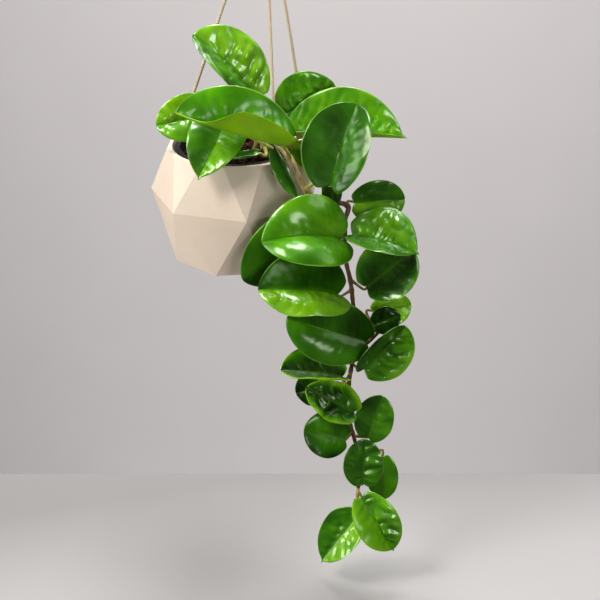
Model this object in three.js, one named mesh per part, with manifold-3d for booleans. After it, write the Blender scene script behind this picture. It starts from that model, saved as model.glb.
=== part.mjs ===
// Hanging planter: a seven-sided faceted pot on three twisted jute cords, with a black nursery liner,
// bark soil and a trailing wax plant (hoya) whose thick folded leaves hang from the rim.
// Millimetres, +Z up. The origin is where the steel ring bears on its hook, and the front faces -Y.
import * as THREE from "three";
import { ConvexGeometry } from "three/addons/geometries/ConvexGeometry.js";
import { mergeVertices } from "three/addons/utils/BufferGeometryUtils.js";
import Module from "manifold-3d";

const wasm = await Module();
wasm.setup();

// ---- Driving dimensions ----
const POT_SIDES = 7;
const POT_X = -30; // the pot hangs off to one side of the ring, as the vine pulls the other way
const EQUATOR_Z = -327;
const POT_TURN = -42.8; // degrees from the front to the first corner of the equator
const EQUATOR_RADIUS = 84;
const BASE_RADIUS = 63;
const BASE_DROP = 65;
const RIM_RISE = 47;
const CREST_RADIUS = 61; // where the upper facets would meet, above the cut rim
const CREST_RISE = 68;
const MOUTH_RADIUS = 61;
const CAVITY_FLOOR_RADIUS = 48;
const FLOOR_THICKNESS = 7;

const LINER_LIP_RADIUS = 58.5;
const LINER_TOP_RADIUS = 54.6;
const LINER_BASE_RADIUS = 43;
const LINER_WALL = 1.5;
const LINER_LIP_RISE = 46.4;
const SOIL_RISE = 39;
const GAP = 0.3; // clearance between pieces that touch

const CORD_RADIUS = 1.5;
const CORD_HOLE_RADIUS = 2.6;
const CORD_HOLE_RISE = 39.5;
const CORD_SAG = 0.5; // the cord rests low in its hole
const CORD_TURN = 6.5; // length of each leg of the rounded turn into the hole
const CORD_TURN_RADIUS = 71; // how far from the pot's axis the cords turn in
const STOP_KNOT_PLACE = 57.3; // in the gap between the pot's wall and the liner
const STOP_KNOT_RADIUS = 2.3;
const GATHER_Z = -45; // lower end of the knot that gathers the cords
const GATHER_SPREAD = 2.5;
const RING_RADIUS = 11;
const RING_WIRE = 1.6;

const BLADE_THICKNESS = 1.2;
const BLADE_ROWS = 8;
const BLADE_COLUMNS = 6;
const PETIOLE_RADIUS = 1.4;

const UP = new THREE.Vector3(0, 0, 1);
const equator = new THREE.Vector3(POT_X, 0, EQUATOR_Z);
const radians = THREE.MathUtils.degToRad;

// ---- Materials ----
function finish(color, roughness, metalness = 0) {
  return new THREE.MeshStandardMaterial({ color, roughness, metalness });
}
const SHELL = finish("#d8c6b0", 0.75);
const LINER = finish("#17181a", 0.5);
const SOIL = finish("#3a2a20", 0.95);
const LEAF = finish("#3f8f14", 0.25);
const WOOD = finish("#6d5233", 0.7);
const GREEN_STEM = finish("#8a8a3a", 0.6);
const JUTE = finish("#b79a72", 0.9);
const STEEL = finish("#b9bcc0", 0.3, 1);

// ---- Solids ----
function solid(geometry) {
  const bare = geometry.clone();
  bare.deleteAttribute("normal");
  bare.deleteAttribute("uv");
  const merged = mergeVertices(bare, 1e-4);
  return new wasm.Manifold(
    new wasm.Mesh({
      numProp: 3,
      vertProperties: merged.attributes.position.array,
      triVerts: new Uint32Array(merged.index.array),
    }),
  );
}

function geometryOf(body) {
  const mesh = body.getMesh();
  const geometry = new THREE.BufferGeometry();
  geometry.setAttribute("position", new THREE.BufferAttribute(mesh.vertProperties, 3));
  geometry.setIndex(new THREE.BufferAttribute(mesh.triVerts, 1));
  return geometry;
}

function join(solids) {
  return solids.reduce((whole, piece) => whole.add(piece));
}

function piece(name, geometry, material) {
  const shown = geometry.index ? geometry.toNonIndexed() : geometry.clone();
  shown.computeVertexNormals();
  const mesh = new THREE.Mesh(shown, material);
  mesh.name = name;
  return mesh;
}

// A point at this radius, this many degrees from the front, this far above the pot's equator.
function aroundPot(radius, degrees, rise) {
  const turn = radians(degrees);
  return new THREE.Vector3(radius * Math.sin(turn), -radius * Math.cos(turn), rise).add(equator);
}

function lathe(profile, segments) {
  const points = profile.map(([radius, height]) => new THREE.Vector2(radius, height));
  return new THREE.LatheGeometry(points, segments).rotateX(Math.PI / 2);
}

function rod(start, end, radius, sides) {
  const along = end.clone().sub(start);
  const geometry = new THREE.CylinderGeometry(radius, radius, along.length(), sides);
  const turn = new THREE.Quaternion().setFromUnitVectors(
    new THREE.Vector3(0, 1, 0),
    along.clone().normalize(),
  );
  geometry.applyQuaternion(turn);
  const middle = start.clone().add(end).multiplyScalar(0.5);
  return geometry.translate(middle.x, middle.y, middle.z);
}

function ball(centre, radius, sides = 10) {
  return new THREE.SphereGeometry(radius, sides, 7).translate(centre.x, centre.y, centre.z);
}

// A round bar along a smooth curve that passes through every point.
function tube(points, radius, sides, stepsPerSpan) {
  const curve = new THREE.CatmullRomCurve3(points, false, "centripetal");
  curve.getUtoTmapping = (share) => share;
  const outline = new THREE.Shape().absarc(0, 0, radius, 0, 2 * Math.PI);
  return new THREE.ExtrudeGeometry(outline, {
    steps: stepsPerSpan * (points.length - 1),
    curveSegments: sides / 2,
    bevelEnabled: false,
    extrudePath: curve,
  });
}

// ---- Pot ----
function potCorners() {
  const step = 360 / POT_SIDES;
  const cut = RIM_RISE / CREST_RISE;
  const corners = [];
  for (let side = 0; side < POT_SIDES; side++) {
    const turn = POT_TURN + side * step;
    const waist = aroundPot(EQUATOR_RADIUS, turn, 0);
    corners.push(waist);
    corners.push(aroundPot(BASE_RADIUS, turn + step / 2, -BASE_DROP));
    for (const half of [-0.5, 0.5])
      corners.push(waist.clone().lerp(aroundPot(CREST_RADIUS, turn + half * step, CREST_RISE), cut));
  }
  return corners;
}

function cordHole(degrees) {
  const outside = aroundPot(EQUATOR_RADIUS, degrees, CORD_HOLE_RISE);
  const inside = aroundPot(MOUTH_RADIUS - 8, degrees, CORD_HOLE_RISE);
  return solid(rod(inside, outside, CORD_HOLE_RADIUS, 16));
}

function potShell(cordTurns) {
  const floor = FLOOR_THICKNESS - BASE_DROP;
  const cavity = lathe(
    [
      [0, floor],
      [CAVITY_FLOOR_RADIUS, floor],
      [MOUTH_RADIUS, RIM_RISE - 14],
      [MOUTH_RADIUS, RIM_RISE + 10],
      [0, RIM_RISE + 10],
    ],
    48,
  ).translate(POT_X, 0, EQUATOR_Z);
  const shell = solid(new ConvexGeometry(potCorners())).subtract(solid(cavity));
  return cordTurns.reduce((cut, degrees) => cut.subtract(cordHole(degrees)), shell);
}

// ---- Nursery liner and soil ----
function liner() {
  const floor = FLOOR_THICKNESS - BASE_DROP + GAP;
  const lip = LINER_LIP_RISE;
  return lathe(
    [
      [0, floor],
      [LINER_BASE_RADIUS, floor],
      [LINER_TOP_RADIUS, lip - 2],
      [LINER_LIP_RADIUS, lip - 2],
      [LINER_LIP_RADIUS, lip],
      [LINER_TOP_RADIUS - LINER_WALL, lip],
      [LINER_BASE_RADIUS - LINER_WALL, floor + LINER_WALL],
      [0, floor + LINER_WALL],
    ],
    40,
  ).translate(POT_X, 0, EQUATOR_Z);
}

// Height of the bark chips at a place on the soil's top.
function barkHeight(x, y) {
  const coarse = 1.6 * Math.sin(0.31 * x + 0.8) * Math.cos(0.27 * y - 0.4);
  const fine = 0.8 * Math.sin(0.74 * x - 0.6 * y);
  return coarse + fine;
}

function soil(stemFeet) {
  const bottom = FLOOR_THICKNESS - BASE_DROP + LINER_WALL + 2 * GAP;
  const slope = (LINER_TOP_RADIUS - LINER_BASE_RADIUS) / (LINER_LIP_RISE + BASE_DROP - FLOOR_THICKNESS);
  const lowRadius = LINER_BASE_RADIUS - LINER_WALL - GAP;
  const topRadius = lowRadius + slope * (SOIL_RISE - bottom);
  const profile = [
    [0, bottom],
    [lowRadius, bottom],
    [topRadius, SOIL_RISE - 3],
  ];
  for (const share of [0.88, 0.68, 0.46, 0.24]) profile.push([topRadius * share, SOIL_RISE]);
  profile.push([0, SOIL_RISE]);
  const mound = lathe(profile, 24);
  const spots = mound.attributes.position;
  for (let i = 0; i < spots.count; i++)
    if (spots.getZ(i) > SOIL_RISE - 1)
      spots.setZ(i, SOIL_RISE + barkHeight(spots.getX(i), spots.getY(i)));
  mound.translate(POT_X, 0, EQUATOR_Z);
  return stemFeet.reduce((bed, [foot, radius]) => {
    const top = foot.clone().setZ(EQUATOR_Z + SOIL_RISE + 10);
    const hole = rod(foot.clone().setZ(foot.z - 1), top, radius + 2 * GAP, 12);
    return bed.subtract(solid(hole));
  }, solid(mound));
}

// ---- Cords, gathering knot and ring ----
// Each cord comes down outside the rim, turns in through its hole and ends in a stop knot.
const CORDS = [
  ["cord_left", -124],
  ["cord_front", 34.3],
  ["cord_right", 94],
];

function cordRoute(degrees) {
  const corner = aroundPot(CORD_TURN_RADIUS, degrees, CORD_HOLE_RISE - CORD_SAG);
  const knot = aroundPot(STOP_KNOT_PLACE, degrees, CORD_HOLE_RISE - CORD_SAG);
  const away = corner.clone().setZ(0).normalize();
  const start = away.multiplyScalar(GATHER_SPREAD).setZ(GATHER_Z - 0.8);
  const turn = new THREE.QuadraticBezierCurve3(
    corner.clone().add(start.clone().sub(corner).setLength(CORD_TURN)),
    corner,
    corner.clone().add(knot.clone().sub(corner).setLength(CORD_TURN)),
  );
  return [start, ...turn.getPoints(6), knot];
}

function cord(degrees) {
  const route = cordRoute(degrees);
  const line = solid(tube(route, CORD_RADIUS, 8, 1));
  return line.add(solid(ball(route.at(-1), STOP_KNOT_RADIUS, 8)));
}

function gatherKnot() {
  const ringCentreZ = RING_WIRE - RING_RADIUS;
  const ringFootZ = ringCentreZ - RING_RADIUS;
  const loopRadius = 6;
  const loop = new THREE.TorusGeometry(loopRadius, CORD_RADIUS - 0.1, 8, 20)
    .rotateX(Math.PI / 2)
    .rotateZ(Math.PI / 2)
    .translate(0, 0, ringFootZ - 2.7);
  const wraps = lathe(
    [
      [0, GATHER_Z],
      [4.4, GATHER_Z],
      [5.6, GATHER_Z + 3],
      [5.2, GATHER_Z + 9],
      [6.2, GATHER_Z + 13],
      [4.2, GATHER_Z + 17.5],
      [0, GATHER_Z + 18.5],
    ],
    16,
  );
  return join([solid(wraps), solid(loop)]);
}

function hangRing() {
  return new THREE.TorusGeometry(RING_RADIUS, RING_WIRE, 8, 28)
    .rotateX(Math.PI / 2)
    .translate(0, 0, RING_WIRE - RING_RADIUS);
}

// ---- Leaves ----
// Half the blade's width along its length, as a share of the widest place.
function bladeShape(u) {
  const widest = 0.42;
  if (u <= widest) return Math.sqrt(1 - ((widest - u) / (widest + 0.012)) ** 2);
  return (1 - ((u - widest) / (1 - widest)) ** 2.2) ** 0.72;
}

function bladeAxes(leaf) {
  const length = leaf.tip.distanceTo(leaf.base);
  const along = leaf.tip.clone().sub(leaf.base).normalize();
  const face = leaf.face.clone().addScaledVector(along, -leaf.face.dot(along)).normalize();
  const across = along.clone().cross(face);
  return { length, along, face, across };
}

// A point of the blade's middle surface: u runs from the base to the tip, v from the left edge at -1
// to the right edge at 1. The halves fold up from the midrib, the midrib arches, the base has lobes.
function bladePoint(leaf, u, v) {
  const { length, along, face, across } = bladeAxes(leaf);
  const point = leaf.base.clone().lerp(leaf.tip, u);
  point.addScaledVector(face, leaf.arch * length * 4 * u * (1 - u));
  const lean = leaf.arch * 4 * (1 - 2 * u);
  const up = face.clone().addScaledVector(along, -lean).normalize();
  const fold = radians(v > 0 ? leaf.foldRight : leaf.foldLeft);
  const reach = (Math.abs(v) * leaf.width * bladeShape(u)) / 2;
  point.addScaledVector(across, Math.sign(v) * reach * Math.cos(fold));
  point.addScaledVector(up, reach * Math.sin(fold));
  const lobe = 0.1 * length * Math.max(0, 1 - u / 0.4) ** 2 * Math.abs(v);
  return point.addScaledVector(along, -lobe);
}

function bladeNormal(leaf, u, v) {
  const d = 1e-3;
  const at = Math.min(Math.max(u, d), 1 - 2 * d);
  const forward = bladePoint(leaf, at + d, v).sub(bladePoint(leaf, at - d, v));
  const low = Math.max(-1, v - d);
  const sideways = bladePoint(leaf, at, Math.min(1, v + d)).sub(bladePoint(leaf, at, low));
  return sideways.cross(forward).normalize();
}

function blade(leaf) {
  const rows = BLADE_ROWS;
  const columns = BLADE_COLUMNS;
  const spots = [];
  const upper = [];
  const lower = [];
  for (let i = 0; i <= rows; i++) {
    const even = i / rows;
    const u = (even + 0.5 * (1 - Math.cos(Math.PI * even))) / 2;
    upper.push([]);
    lower.push([]);
    for (let j = 0; j <= columns; j++) {
      const atTip = i === rows;
      if (atTip && j > 0) {
        upper[i].push(upper[i][0]);
        lower[i].push(lower[i][0]);
        continue;
      }
      const v = atTip ? 0 : (2 * j) / columns - 1;
      const middle = bladePoint(leaf, u, v);
      const half = bladeNormal(leaf, u, v).multiplyScalar(BLADE_THICKNESS / 2);
      upper[i].push(spots.push(middle.clone().add(half)) - 1);
      lower[i].push(spots.push(middle.clone().sub(half)) - 1);
    }
  }
  const faces = [];
  const triangle = (a, b, c) => {
    if (a !== b && b !== c && c !== a) faces.push(a, b, c);
  };
  for (let i = 0; i < rows; i++)
    for (let j = 0; j < columns; j++) {
      triangle(upper[i][j], upper[i][j + 1], upper[i + 1][j + 1]);
      triangle(upper[i][j], upper[i + 1][j + 1], upper[i + 1][j]);
      triangle(lower[i][j], lower[i + 1][j + 1], lower[i][j + 1]);
      triangle(lower[i][j], lower[i + 1][j], lower[i + 1][j + 1]);
    }
  const edge = [];
  for (let j = 0; j <= columns; j++) edge.push([0, j]);
  for (let i = 1; i <= rows; i++) edge.push([i, columns]);
  for (let i = rows - 1; i > 0; i--) edge.push([i, 0]);
  edge.forEach(([i, j], k) => {
    const [m, n] = edge[(k + 1) % edge.length];
    triangle(upper[m][n], upper[i][j], lower[i][j]);
    triangle(upper[m][n], lower[i][j], lower[m][n]);
  });
  const geometry = new THREE.BufferGeometry().setFromPoints(spots);
  geometry.setIndex(faces);
  return geometry;
}

// The leaf stalk leaves the stem at the leaf's root and ends just under the base of the blade.
function petiole(leaf) {
  const { along, face } = bladeAxes(leaf);
  const under = leaf.base.clone().addScaledVector(face, -7).addScaledVector(along, -5);
  const bend = leaf.via ?? under;
  const end = leaf.base.clone().addScaledVector(face, -2).addScaledVector(along, 1);
  return solid(tube([leaf.root, bend, end], PETIOLE_RADIUS, 6, 3));
}

// Name, root on the stem, blade base, blade tip, the way the upper side faces, width,
// fold of the left and the right half in degrees, the arch as a share of the length, and
// where it is not the usual one a point that the leaf stalk passes on its way.
const LEAF_TABLE = {
  vine: [
    [
      "leaf_top_large", [22, -48, -278], [19, -62, -260], [-80, -72, -225], [0, 0, 1],
      84, 46, 72, -0.02,
    ],
    [
      "leaf_top_front", [37, -58, -304], [60, -98, -285], [83, -72, -217], [-0.4, -0.8, 0.45],
      72, 25, 25, 0.04, [48, -82, -288],
    ],
    [
      "leaf_top_under", [52, -57, -320], [61, -67, -277], [62, -63, -325], [0.1, -0.95, 0.1],
      20, 10, 10, 0,
    ],
    [
      "leaf_top_rim", [0, -20, -264], [8, -64, -263], [29, -86, -301], [-0.45, -0.8, 0.4],
      20, 40, 40, 0, [-14, -44, -257],
    ],
    [
      "leaf_top_inner", [14, -37, -270], [25, -36, -272], [60, -42, -281], [-0.15, -1, 0.2],
      28, 20, 20, 0,
    ],
    [
      "leaf_top_small", [-4, -17, -267], [-6, -43, -273], [-34, -45, -278], [0, -0.5, 0.85],
      10, 15, 15, 0,
    ],
    [
      "leaf_vine_01", [74, -60, -350], [70, -72, -349], [-3, -104, -338], [0.4, -0.65, 0.65],
      76, 22, 22, 0.18,
    ],
    [
      "leaf_vine_02", [73, -60, -336], [58, -61, -338], [-22, -90, -382], [0.35, -0.93, 0.05],
      74, -12, 0, 0,
    ],
    [
      "leaf_vine_03", [81, -58, -408], [68, -72, -406], [-7, -106, -385], [0.45, -0.65, 0.65],
      78, 35, 25, 0.08,
    ],
    [
      "leaf_vine_04", [86, -54, -462], [96, -68, -458], [19, -78, -428], [0.3, -0.92, 0.22],
      64, 8, 8, 0.02,
    ],
    [
      "leaf_vine_05", [78, -57, -322], [84, -38, -325], [132, -30, -325], [0.2, -0.95, 0.15],
      46, 15, 15, 0.05,
    ],
    [
      "leaf_vine_06", [74, -60, -345], [81, -66, -347], [143, -84, -359], [0.05, -0.35, 0.95],
      70, 26, 26, 0.05,
    ],
    [
      "leaf_vine_07", [80, -59, -396], [96, -64, -402], [139, -63, -363], [-0.2, -0.95, 0.3],
      58, 8, 8, 0.03,
    ],
    [
      "leaf_vine_08", [108, -46, -459], [104, -38, -440], [142, -28, -438], [0.25, -0.9, 0.3],
      36, 20, 20, 0.03,
    ],
    [
      "leaf_vine_09", [104, -48, -463], [104, -50, -449], [130, -50, -438], [-0.15, -0.9, 0.4],
      28, 8, 8, 0.03,
    ],
    [
      "leaf_vine_10", [83, -56, -489], [95, -66, -490], [134, -64, -443], [0.2, -1, -0.1],
      58, 33, 33, 0.03,
    ],
    [
      "leaf_vine_11", [83, -56, -498], [74, -65, -499], [13, -85, -481], [0.35, -0.4, 0.85],
      52, 46, 25, 0.03,
    ],
    [
      "leaf_vine_12", [81, -56, -512], [54, -54, -516], [28, -48, -527], [-0.35, -0.9, 0.15],
      34, 8, 8, 0,
    ],
    [
      "leaf_vine_13", [80, -56, -526], [86, -70, -536], [38, -80, -503], [0.5, -0.8, 0.25],
      42, 20, 20, 0.04, [83, -62, -530],
    ],
    [
      "leaf_vine_14", [81, -57, -538], [76, -59, -540], [56, -64, -551], [0.15, -0.9, 0.4],
      26, 10, 10, 0,
    ],
    [
      "leaf_vine_15", [85, -58, -566], [77, -71, -567], [36, -84, -546], [0.45, -0.8, 0.35],
      48, 8, 8, 0.02,
    ],
    [
      "leaf_vine_16", [87, -58, -571], [101, -62, -570], [114, -66, -520], [-0.25, -0.95, 0],
      40, 10, 10, 0.02,
    ],
    [
      "leaf_vine_17", [92, -60, -628], [96, -70, -620], [97, -66, -570], [-0.05, -1, 0.1],
      42, 12, 12, 0.03,
    ],
    [
      "leaf_vine_18", [91, -56, -603], [117, -46, -604], [118, -52, -651], [-0.05, -1, 0.15],
      33, 8, 8, 0.03,
    ],
    [
      "leaf_vine_19", [91, -60, -640], [96, -69, -639], [129, -84, -694], [0.15, -0.95, 0.3],
      48, 18, 18, 0.06,
    ],
    [
      "leaf_vine_20", [90, -58, -661], [92, -65, -664], [54, -74, -716], [-0.45, -0.82, 0.35],
      50, 32, 12, 0.03,
    ],
  ],
  left: [
    [
      "leaf_top_drooping", [-34, -15, -252], [-30, -26, -238], [-61, -86, -285], [0, -0.7, 0.75],
      56, 20, 20, 0.05,
    ],
  ],
  back: [
    [
      "leaf_top_tall", [-5, 8, -258], [-11, 4, -233], [-68, 8, -175], [0.5, -0.6, 0.6],
      68, 29, 29, 0.06,
    ],
    [
      "leaf_top_left", [-6, 8, -268], [-50, 2, -250], [-104, -14, -257], [0.2, -0.85, 0.5],
      48, 15, 15, 0.04,
    ],
    [
      "leaf_top_back", [-5, 8, -263], [17, -5, -249], [64, -3, -219], [0, -0.97, -0.05],
      64, 8, 8, 0.03,
    ],
    [
      "leaf_top_right", [-4, 8, -266], [29, -12, -268], [132, -34, -262], [-0.15, -0.35, 0.95],
      92, 62, 45, 0.02,
    ],
  ],
};

function leafOf([name, root, base, tip, face, width, foldLeft, foldRight, arch, via]) {
  const [rootAt, baseAt, tipAt, facing] = vectors([root, base, tip, face]);
  return {
    name,
    root: rootAt,
    base: baseAt,
    tip: tipAt,
    face: facing,
    width,
    foldLeft,
    foldRight,
    arch,
    via: via ? new THREE.Vector3(...via) : undefined,
  };
}

// ---- Stems ----
const ROOT_Z = -320; // the stems stand this deep in the soil
const STEM_ROUTES = {
  vine: {
    radius: 2.3,
    points: [
      [-11, -10, ROOT_Z],
      [-11, -10, -300],
      [-11, -10, -284],
      [-5, -16, -268],
      [4, -24, -263],
      [14, -37, -270],
      [25, -52, -280],
      [37, -58, -304],
      [55, -54, -322],
      [70, -55, -319],
      [77, -57, -322],
      [74, -60, -335],
      [74, -60, -352],
      [76, -60, -378],
      [80, -59, -396],
      [83, -58, -420],
      [86, -54, -455],
      [84, -55, -484],
      [81, -56, -508],
      [80, -56, -526],
      [83, -58, -557],
      [88, -57, -580],
      [92, -57, -608],
      [92, -60, -632],
      [91, -59, -648],
      [90, -58, -661],
    ],
  },
  left: {
    radius: 2,
    points: [
      [-27, -18, ROOT_Z],
      [-27, -18, -302],
      [-27, -18, -285],
      [-30, -17, -265],
      [-34, -15, -250],
    ],
  },
  back: {
    radius: 2,
    points: [
      [-5, 8, ROOT_Z],
      [-5, 8, -288],
      [-5, 8, -256],
    ],
  },
};
const SIDE_SHOOT = [
  [85, -54, -470],
  [97, -50, -470],
  [109, -46, -460],
];

function vectors(points) {
  return points.map((point) => new THREE.Vector3(...point));
}

function stem(plant) {
  const { radius, points } = STEM_ROUTES[plant];
  const parts = [solid(tube(vectors(points), radius, 7, 2))];
  if (plant === "vine") parts.push(solid(tube(vectors(SIDE_SHOOT), 1.8, 7, 2)));
  for (const row of LEAF_TABLE[plant]) parts.push(petiole(leafOf(row)));
  return join(parts);
}

// ---- Assembly ----
const planter = new THREE.Group();
const cordTurns = CORDS.map(([, degrees]) => degrees);
const stemFeet = Object.values(STEM_ROUTES).map(({ radius, points }) => [
  new THREE.Vector3(...points[0]),
  radius,
]);

planter.add(piece("pot_shell", geometryOf(potShell(cordTurns)), SHELL));
planter.add(piece("nursery_liner", liner(), LINER));
planter.add(piece("soil", geometryOf(soil(stemFeet)), SOIL));
planter.add(piece("hang_ring", hangRing(), STEEL));
planter.add(piece("gather_knot", geometryOf(gatherKnot()), JUTE));
for (const [name, degrees] of CORDS) planter.add(piece(name, geometryOf(cord(degrees)), JUTE));
for (const plant of Object.keys(LEAF_TABLE)) {
  const bark = plant === "vine" ? WOOD : GREEN_STEM;
  planter.add(piece(`stem_${plant}`, geometryOf(stem(plant)), bark));
  for (const row of LEAF_TABLE[plant]) planter.add(piece(row[0], blade(leafOf(row)), LEAF));
}

export default planter;
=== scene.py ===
import math

import bmesh
import bpy
import numpy as np
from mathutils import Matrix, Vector


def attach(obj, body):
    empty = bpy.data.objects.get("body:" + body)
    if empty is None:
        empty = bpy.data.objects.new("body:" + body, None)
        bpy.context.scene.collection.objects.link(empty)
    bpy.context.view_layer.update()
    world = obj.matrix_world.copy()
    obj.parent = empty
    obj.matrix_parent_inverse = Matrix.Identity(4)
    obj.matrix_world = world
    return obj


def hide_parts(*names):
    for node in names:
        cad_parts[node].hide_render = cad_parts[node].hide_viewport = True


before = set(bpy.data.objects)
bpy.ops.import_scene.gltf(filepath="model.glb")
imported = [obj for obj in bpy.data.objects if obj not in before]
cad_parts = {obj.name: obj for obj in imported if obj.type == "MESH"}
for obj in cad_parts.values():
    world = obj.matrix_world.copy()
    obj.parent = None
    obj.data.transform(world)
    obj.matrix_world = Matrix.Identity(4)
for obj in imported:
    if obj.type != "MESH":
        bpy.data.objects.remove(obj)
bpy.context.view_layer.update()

# Looks for a hanging planter with a trailing wax plant. Shapes are worked out in millimetres,
# +Z up, origin where the steel ring bears on its hook, and stored in metres.
MM = 0.001
rng = np.random.default_rng(11)


def unit(vector):
    vector = np.asarray(vector, float)
    return vector / np.linalg.norm(vector)


# ---------------------------------------------------------------- camera
def add_camera():
    data = bpy.data.cameras.new("camera")
    data.lens = 84
    data.sensor_width = 36
    camera = bpy.data.objects.new("camera", data)
    camera.location = (0.0319, -1.2789, 0.1658)
    camera.rotation_euler = (math.radians(64.43), 0, 0)
    bpy.context.scene.collection.objects.link(camera)
    bpy.context.scene.camera = camera


add_camera()


# ---------------------------------------------------------------- node materials
class Shader:
    """A Principled material, built up socket by socket."""

    def __init__(self, name, **values):
        self.material = bpy.data.materials.new(name)
        self.material.use_nodes = True
        self.tree = self.material.node_tree
        self.surface = self.tree.nodes["Principled BSDF"]
        for key, value in values.items():
            self.surface.inputs[key.replace("_", " ")].default_value = value

    def node(self, kind, inputs=None, **settings):
        made = self.tree.nodes.new("ShaderNode" + kind)
        for key, value in settings.items():
            setattr(made, key, value)
        for key, value in (inputs or {}).items():
            if isinstance(value, bpy.types.NodeSocket):
                self.tree.links.new(value, made.inputs[key])
            else:
                made.inputs[key].default_value = value
        return made

    def attribute(self, name):
        return self.node("Attribute", attribute_name=name).outputs["Fac"]

    def position(self, scale=(1, 1, 1)):
        place = self.node("TexCoord").outputs["Object"]
        return self.node("Mapping", {"Vector": place, "Scale": scale}).outputs["Vector"]

    def noise(self, scale, detail=4.0, rough=0.55, vector=None):
        facts = {"Scale": scale, "Detail": detail, "Roughness": rough}
        facts["Vector"] = vector or self.position()
        return self.node("TexNoise", facts).outputs["Fac"]

    def ramp(self, value, *stops):
        made = self.node("ValToRGB", {"Fac": value})
        elements = made.color_ramp.elements
        while len(elements) < len(stops):
            elements.new(0.5)
        for element, (place, color) in zip(elements, stops):
            element.position = place
            element.color = (*color, 1) if hasattr(color, "__len__") else (color, color, color, 1)
        return made.outputs["Color"]

    def mix(self, share, first, second, blend="MIX"):
        made = self.node("Mix", data_type="RGBA", blend_type=blend)
        # the node's sockets by place: its factor, and the colours A and B
        for index, value in ((0, share), (6, first), (7, second)):
            if isinstance(value, bpy.types.NodeSocket):
                self.tree.links.new(value, made.inputs[index])
            elif hasattr(value, "__len__"):
                made.inputs[index].default_value = (*value[:3], 1)
            else:
                made.inputs[index].default_value = value
        return made.outputs[2]

    def math(self, operation, first, second):
        return self.node("Math", {0: first, 1: second}, operation=operation).outputs[0]

    def link(self, socket, value):
        self.tree.links.new(value, self.surface.inputs[socket])

    def bump(self, height, strength, distance):
        facts = {"Height": height, "Strength": strength, "Distance": distance}
        self.link("Normal", self.node("Bump", facts).outputs["Normal"])


def rgb(red, green, blue):
    """A screen colour, 0 to 255, as the linear one that shaders use."""
    return tuple(c / 255 / 12.92 if c < 11 else ((c / 255 + 0.055) / 1.055) ** 2.4
                 for c in (red, green, blue))


# ---------------------------------------------------------------- mesh code
ALL_SMOOTH = 180
WELD = 2e-7  # points closer than this, in metres, are one


def add_values(mesh, attributes):
    """Named values of the mesh's points, for its material to read."""
    for key, values in attributes.items():
        layer = mesh.attributes.new(key, "FLOAT", "POINT")
        layer.data.foreach_set("value", np.asarray(values, np.float32))


def mesh_object(name, parts, materials, attributes, replaces, smooth_angle):
    """An object from parts, each (points in mm, faces, material index or one for each face)."""
    points, faces, indices = [], [], []
    for part_points, part_faces, index in parts:
        start = len(points)
        points.extend(np.asarray(part_points, float) * MM)
        faces.extend([[start + corner for corner in face] for face in part_faces])
        indices.extend(index if isinstance(index, list) else [index] * len(part_faces))
    mesh = bpy.data.meshes.new(name)
    mesh.from_pydata([tuple(p) for p in points], [], faces)
    mesh.polygons.foreach_set("material_index", indices)
    add_values(mesh, attributes)
    for material in materials:
        mesh.materials.append(material)
    mesh.validate()
    mesh.update()
    mesh.shade_smooth()
    if smooth_angle < ALL_SMOOTH:
        mesh.set_sharp_from_angle(angle=math.radians(smooth_angle))
    return place_object(name, mesh, replaces)


def place_object(name, mesh, replaces):
    made = bpy.data.objects.new(name, mesh)
    bpy.context.scene.collection.objects.link(made)
    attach(made, "root")
    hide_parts(*replaces)
    return made


def smooth_path(points, steps):
    """Points of a centripetal Catmull-Rom curve through the given ones."""
    points = np.asarray(points, float)
    points = np.vstack([2 * points[0] - points[1], points, 2 * points[-1] - points[-2]])
    out = []
    for i in range(1, len(points) - 2):
        p = points[i - 1:i + 3]
        knots = np.concatenate([[0], np.cumsum(np.linalg.norm(np.diff(p, axis=0), axis=1) ** 0.5)])
        for t in np.linspace(knots[1], knots[2], steps, endpoint=False):
            a = [((knots[k + 1] - t) * p[k] + (t - knots[k]) * p[k + 1]) / (knots[k + 1] - knots[k])
                 for k in range(3)]
            b = [((knots[k + 2] - t) * a[k] + (t - knots[k]) * a[k + 1]) / (knots[k + 2] - knots[k])
                 for k in range(2)]
            out.append(((knots[2] - t) * b[0] + (t - knots[1]) * b[1]) / (knots[2] - knots[1]))
    out.append(points[-2])
    return np.array(out)


def frames(path):
    """Two directions across a path at each of its points, carried along without twist."""
    path = np.asarray(path, float)
    tangents = np.gradient(path, axis=0)
    tangents /= np.linalg.norm(tangents, axis=1)[:, None]
    side = np.cross(tangents[0], [0, 0, 1] if abs(tangents[0][2]) < 0.9 else [1, 0, 0])
    sides = []
    for tangent in tangents:
        side = unit(side - tangent * (side @ tangent))
        sides.append(side)
    sides = np.array(sides)
    return sides, np.cross(tangents, sides)


def arc_lengths(path):
    return np.concatenate([[0], np.cumsum(np.linalg.norm(np.diff(path, axis=0), axis=1))])


def bar(path, radius, sides):
    """Points and faces of a round bar along a path, with a radius for each of its points."""
    path = np.asarray(path, float)
    radius = np.broadcast_to(radius, len(path))
    across, upward = frames(path)
    turn = np.linspace(0, 2 * np.pi, sides, endpoint=False)
    ring = np.cos(turn)[None, :, None] * across[:, None] + np.sin(turn)[None, :, None] * upward[:, None]
    points = (path[:, None] + ring * radius[:, None, None]).reshape(-1, 3)
    faces = []
    for i in range(len(path) - 1):
        for j in range(sides):
            k = (j + 1) % sides
            faces.append([i * sides + j, i * sides + k, (i + 1) * sides + k, (i + 1) * sides + j])
    last = (len(path) - 1) * sides
    faces.append(list(reversed(range(sides))))
    faces.append([last + j for j in range(sides)])
    return points, faces


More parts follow.
